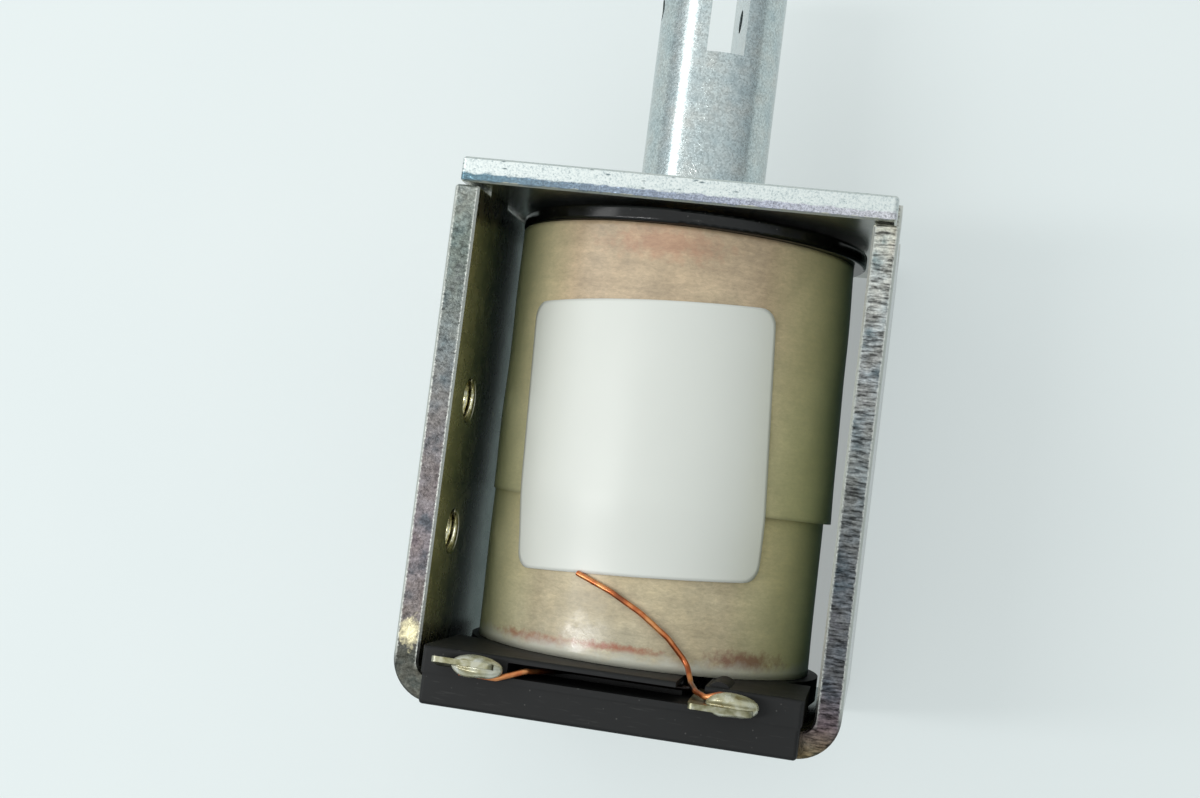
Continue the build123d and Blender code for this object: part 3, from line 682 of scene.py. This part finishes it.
def satin_vinyl():
    """White vinyl with a satin face and faint rub marks."""
    material, tree, at = new_material("satin white vinyl")
    cloud = add(tree, "ShaderNodeTexNoise", {"Vector": at, "Scale": 0.15, "Detail": 3.0})
    base = add(tree, "ShaderNodeMix", {0: cloud.outputs[0], 6: linear("#D6D7D0"), 7: linear("#DBDCD5")},
               data_type="RGBA")
    rubs = add(tree, "ShaderNodeTexNoise", {"Vector": at, "Scale": 1.1, "Detail": 6.0, "Roughness": 0.8,
                                            "Distortion": 1.5})
    rubbed = add(tree, "ShaderNodeMapRange", {"Value": rubs.outputs[0], "From Min": 0.66, "From Max": 0.74,
                                              "To Max": 0.18})
    colour = add(tree, "ShaderNodeMix", {0: rubbed.outputs[0], 6: base.outputs[2], 7: linear("#9DA19C")},
                 data_type="RGBA")
    fine = add(tree, "ShaderNodeTexNoise", {"Vector": at, "Scale": 5.0, "Detail": 2.0})
    bump = add(tree, "ShaderNodeBump", {"Strength": 0.08, "Distance": 0.01 * mm, "Height": fine.outputs[0]})
    shader = add(tree, "ShaderNodeBsdfPrincipled", {
        "Base Color": colour.outputs[2], "Roughness": 0.34, "IOR": 1.46, "Normal": bump.outputs[0]})
    close_material(tree, shader)
    return material


label = surface("label_sheet", label_sheet(), round_v=True)
label.data.materials.append(satin_vinyl())
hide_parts("label")
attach(label, "body")


# Solder tabs and joints: tinned brass blades pushed into the block, each with its lead soldered on
# by hand. The solder lies in two pale lobes along the blade's edge, with amber flux in its hollows.
tab_level = frame_low.y + 4.1
joint_front = block_face + 1.25


def tinned_brass():
    """Dull tin, clouded with the brass below it."""
    material, tree, at = new_material("tinned brass")
    cloud = add(tree, "ShaderNodeTexNoise", {"Vector": at, "Scale": 1.2, "Detail": 4.0})
    colour = add(tree, "ShaderNodeValToRGB", {0: cloud.outputs[0]}, stops=(
        (0.35, "#706D52"), (0.5, "#8C8A72"), (0.65, "#A5A494")))
    rough = add(tree, "ShaderNodeMapRange", {"Value": cloud.outputs[0], "To Min": 0.25, "To Max": 0.5})
    shader = add(tree, "ShaderNodeBsdfPrincipled", {
        "Base Color": colour.outputs[0], "Metallic": 1.0, "Roughness": rough.outputs[0]})
    close_material(tree, shader)
    return material


def solder_finish():
    """Pale solder under a thin gloss of flux, amber in its hollows."""
    material, tree, at = new_material("tin lead solder with flux")
    cloud = add(tree, "ShaderNodeTexNoise", {"Vector": at, "Scale": 0.85, "Detail": 4.0, "Distortion": 0.5})
    colour = add(tree, "ShaderNodeValToRGB", {0: cloud.outputs[0]}, stops=(
        (0.3, "#8C815A"), (0.42, "#A7A384"), (0.55, "#BCBBA6"), (0.7, "#D3D3C8")))
    rough = add(tree, "ShaderNodeMapRange", {"Value": cloud.outputs[0], "From Min": 0.4, "From Max": 0.7,
                                             "To Min": 0.22, "To Max": 0.36})
    shader = add(tree, "ShaderNodeBsdfPrincipled", {
        "Base Color": colour.outputs[0], "Metallic": 0.45, "Roughness": rough.outputs[0], "Coat Weight": 0.5,
        "Coat Roughness": 0.05})
    close_material(tree, shader)
    return material


def solder_joint(name, left, right, level, height, depth, blunt):
    """A lens of solder along X. At share s of its half length, its girth is the square root of
    1 - |s| to the power blunt, with slow lumps and a waist in front of the blade's edge."""
    share = np.linspace(-1, 1, 64)[:, None]
    turn = np.linspace(0, 2 * np.pi, 72, endpoint=False)[None, :]
    girth = np.sqrt(np.clip(1 - np.abs(share) ** blunt, 0, 1))
    lumps = 1 + 0.06 * np.sin(2.2 * share + 2 * turn + 0.5) + 0.035 * np.sin(5 * share - 3 * turn)
    waist = 1 - 0.16 * np.exp(-((np.sin(turn) / 0.22) ** 2)) * (np.cos(turn) > 0)
    x = (left + right) / 2 + share * (right - left) / 2 + 0 * turn
    y = level + girth * lumps * height / 2 * np.sin(turn)
    z = joint_front + girth * lumps * waist * depth / 2 * np.cos(turn)
    return surface(name, np.stack([x, y, z], -1), round_v=True)


paint(tinned_brass(), "terminal_left", "terminal_right")
bright_solder = solder_finish()
low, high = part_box("solder_left")
left_joint = solder_joint("solder_joint_left", low.x / mm, high.x / mm, tab_level + 0.24,
                          height=2.1, depth=2.5, blunt=2.2)
low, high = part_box("solder_right")
right_joint = solder_joint("solder_joint_right", low.x / mm, high.x / mm, tab_level + 0.2,
                           height=2.15, depth=2.4, blunt=2.6)
for piece, node in ((left_joint, "solder_left"), (right_joint, "solder_right")):
    piece.data.materials.append(bright_solder)
    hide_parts(node)
    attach(piece, "body")


# Plunger: turned free-cutting steel, zinc plated and passivated blue-clear, with a slot and a cross
# hole for a clevis pin. The plating is a skin of fine crystals that sparkle.
crystal_size = 0.16


def sparkling_zinc():
    """Zinc plate with fine crystals, drawn a little coarser than real so that they show."""
    material, tree, at = new_material("zinc plated turned steel plunger")
    crystals = add(tree, "ShaderNodeTexVoronoi", {"Vector": at, "Scale": 1 / crystal_size})
    tone = add(tree, "ShaderNodeSeparateColor", {0: crystals.outputs["Color"]})
    cloud = add(tree, "ShaderNodeTexNoise", {"Vector": at, "Scale": 0.5, "Detail": 4.0})
    base = add(tree, "ShaderNodeValToRGB", {0: cloud.outputs[0]}, stops=(
        (0.3, "#B2BEC0"), (0.5, "#BFC8C8"), (0.7, "#C2C6C3")))
    shade = add(tree, "ShaderNodeMapRange", {"Value": tone.outputs[0], "To Min": 0.76, "To Max": 1.2})
    colour = add(tree, "ShaderNodeMix", {0: 1.0, 6: base.outputs[0], 7: shade.outputs[0]}, data_type="RGBA",
                 blend_type="MULTIPLY")
    rough = add(tree, "ShaderNodeMapRange", {"Value": tone.outputs[1], "To Min": 0.14, "To Max": 0.26})
    bump = add(tree, "ShaderNodeBump", {"Strength": 0.35, "Distance": 0.012 * mm, "Height": tone.outputs[2]})
    shader = add(tree, "ShaderNodeBsdfPrincipled", {
        "Base Color": colour.outputs[2], "Metallic": 1.0, "Roughness": rough.outputs[0],
        "Normal": bump.outputs[0]})
    close_material(tree, shader)
    return material


paint(sparkling_zinc(), "plunger")


# Floor, light and camera: the part lies on pale board under soft window light from the left, seen
# nearly from above. Where the camera sees or mirrors the board, it glows a little, which keeps it pale
# under the part.
floor_half = 1.2
floor_gap = 0.02
board_glow = 0.45
sky_axis = (-0.15, 0.45, 0.88)


def pale_board():
    """Pale, faintly blue board that keeps the part's shadow."""
    material, tree, at = new_material("pale board")
    cloud = add(tree, "ShaderNodeTexNoise", {"Vector": at, "Scale": 0.02, "Detail": 2.0})
    colour = add(tree, "ShaderNodeMix", {0: cloud.outputs[0], 6: linear("#E2EAEA"), 7: linear("#E8EEED")},
                 data_type="RGBA")
    matt = add(tree, "ShaderNodeBsdfPrincipled", {"Base Color": colour.outputs[2], "Roughness": 0.9})
    glow = add(tree, "ShaderNodeEmission", {"Color": colour.outputs[2], "Strength": 1.0})
    seen = add(tree, "ShaderNodeLightPath")
    mirrored = add(tree, "ShaderNodeMath", {0: seen.outputs["Is Camera Ray"],
                                            1: seen.outputs["Is Glossy Ray"]}, operation="MAXIMUM")
    shown = add(tree, "ShaderNodeMath", {0: mirrored.outputs[0], 1: seen.outputs["Is Transmission Ray"]},
                operation="MAXIMUM")
    amount = add(tree, "ShaderNodeMath", {0: shown.outputs[0], 1: board_glow}, operation="MULTIPLY")
    shader = add(tree, "ShaderNodeMixShader", {0: amount.outputs[0], 1: matt.outputs[0], 2: glow.outputs[0]})
    close_material(tree, shader)
    return material


floor_mesh = bpy.data.meshes.new("floor")
corners = ((-1, -1), (1, -1), (1, 1), (-1, 1))
floor_mesh.from_pydata([(x * floor_half, y * floor_half, 0) for x, y in corners], [], [(0, 1, 2, 3)])
floor = bpy.data.objects.new("floor", floor_mesh)
floor.location.z = -floor_gap * mm
bpy.context.scene.collection.objects.link(floor)
floor_mesh.materials.append(pale_board())

world = bpy.data.worlds.new("soft daylight")
world.use_nodes = True
bpy.context.scene.world = world
world.node_tree.nodes.clear()
direction = add(world.node_tree, "ShaderNodeTexCoord")
towards_bright = add(world.node_tree, "ShaderNodeVectorMath",
                     {0: direction.outputs["Generated"], 1: sky_axis}, operation="DOT_PRODUCT")
sky = add(world.node_tree, "ShaderNodeValToRGB", {0: towards_bright.outputs["Value"]}, stops=(
    (0.0, "#A2AAAC"), (0.4, "#C6CDCF"), (0.75, "#DFE5E6"), (1.0, "#EAEFEF")))
seen = add(world.node_tree, "ShaderNodeLightPath")
shown = add(world.node_tree, "ShaderNodeMix", {0: seen.outputs["Is Camera Ray"], 6: sky.outputs[0],
                                               7: linear("#E3EAEA")}, data_type="RGBA")
glow = add(world.node_tree, "ShaderNodeBackground", {"Color": shown.outputs[2], "Strength": 1.12})
add(world.node_tree, "ShaderNodeOutputWorld", {"Surface": glow.outputs[0]})


def soft_lamp(name, towards, distance, width, length, power):
    """A rectangular area lamp in a given direction from the part. Its length lies level, and its width
    rises with the tilt."""
    data = bpy.data.lights.new(name, "AREA")
    data.shape = "RECTANGLE"
    data.size, data.size_y, data.energy = width, length, power
    lamp = bpy.data.objects.new(name, data)
    back = Vector(towards).normalized()
    lamp.location = back * distance
    lamp.rotation_euler = back.to_track_quat("Z", "X").to_euler()
    bpy.context.scene.collection.objects.link(lamp)


soft_lamp("window", towards=(-0.76, 0.26, 0.6), distance=0.65, width=0.18, length=0.5, power=0.65)
soft_lamp("glint", towards=(-0.54, -0.1, 0.84), distance=0.65, width=0.3, length=0.06, power=0.95)

photo_width = 1200
focal_pixels = 1635.55
film_width = 36.0
camera_place = Vector((21.94, -15.22, 185.09)) * mm
camera_aim = Vector((-4.41, -8.19, 38.1)) * mm
camera_roll = math.radians(-7.216)
camera_data = bpy.data.cameras.new("camera")
camera_data.sensor_width = film_width
camera_data.lens = film_width * focal_pixels / photo_width
camera_data.clip_start = 0.001
camera = bpy.data.objects.new("camera", camera_data)
forward = (camera_aim - camera_place).normalized()
side = forward.cross(Vector((0, 1, 0))).normalized()
up = side.cross(forward) * math.cos(camera_roll) + side * math.sin(camera_roll)
side = forward.cross(up)
camera.matrix_world = Matrix.Translation(camera_place) @ Matrix((side, up, -forward)).transposed().to_4x4()
bpy.context.scene.collection.objects.link(camera)
bpy.context.scene.camera = camera
bpy.context.scene.view_settings.view_transform = "Standard"
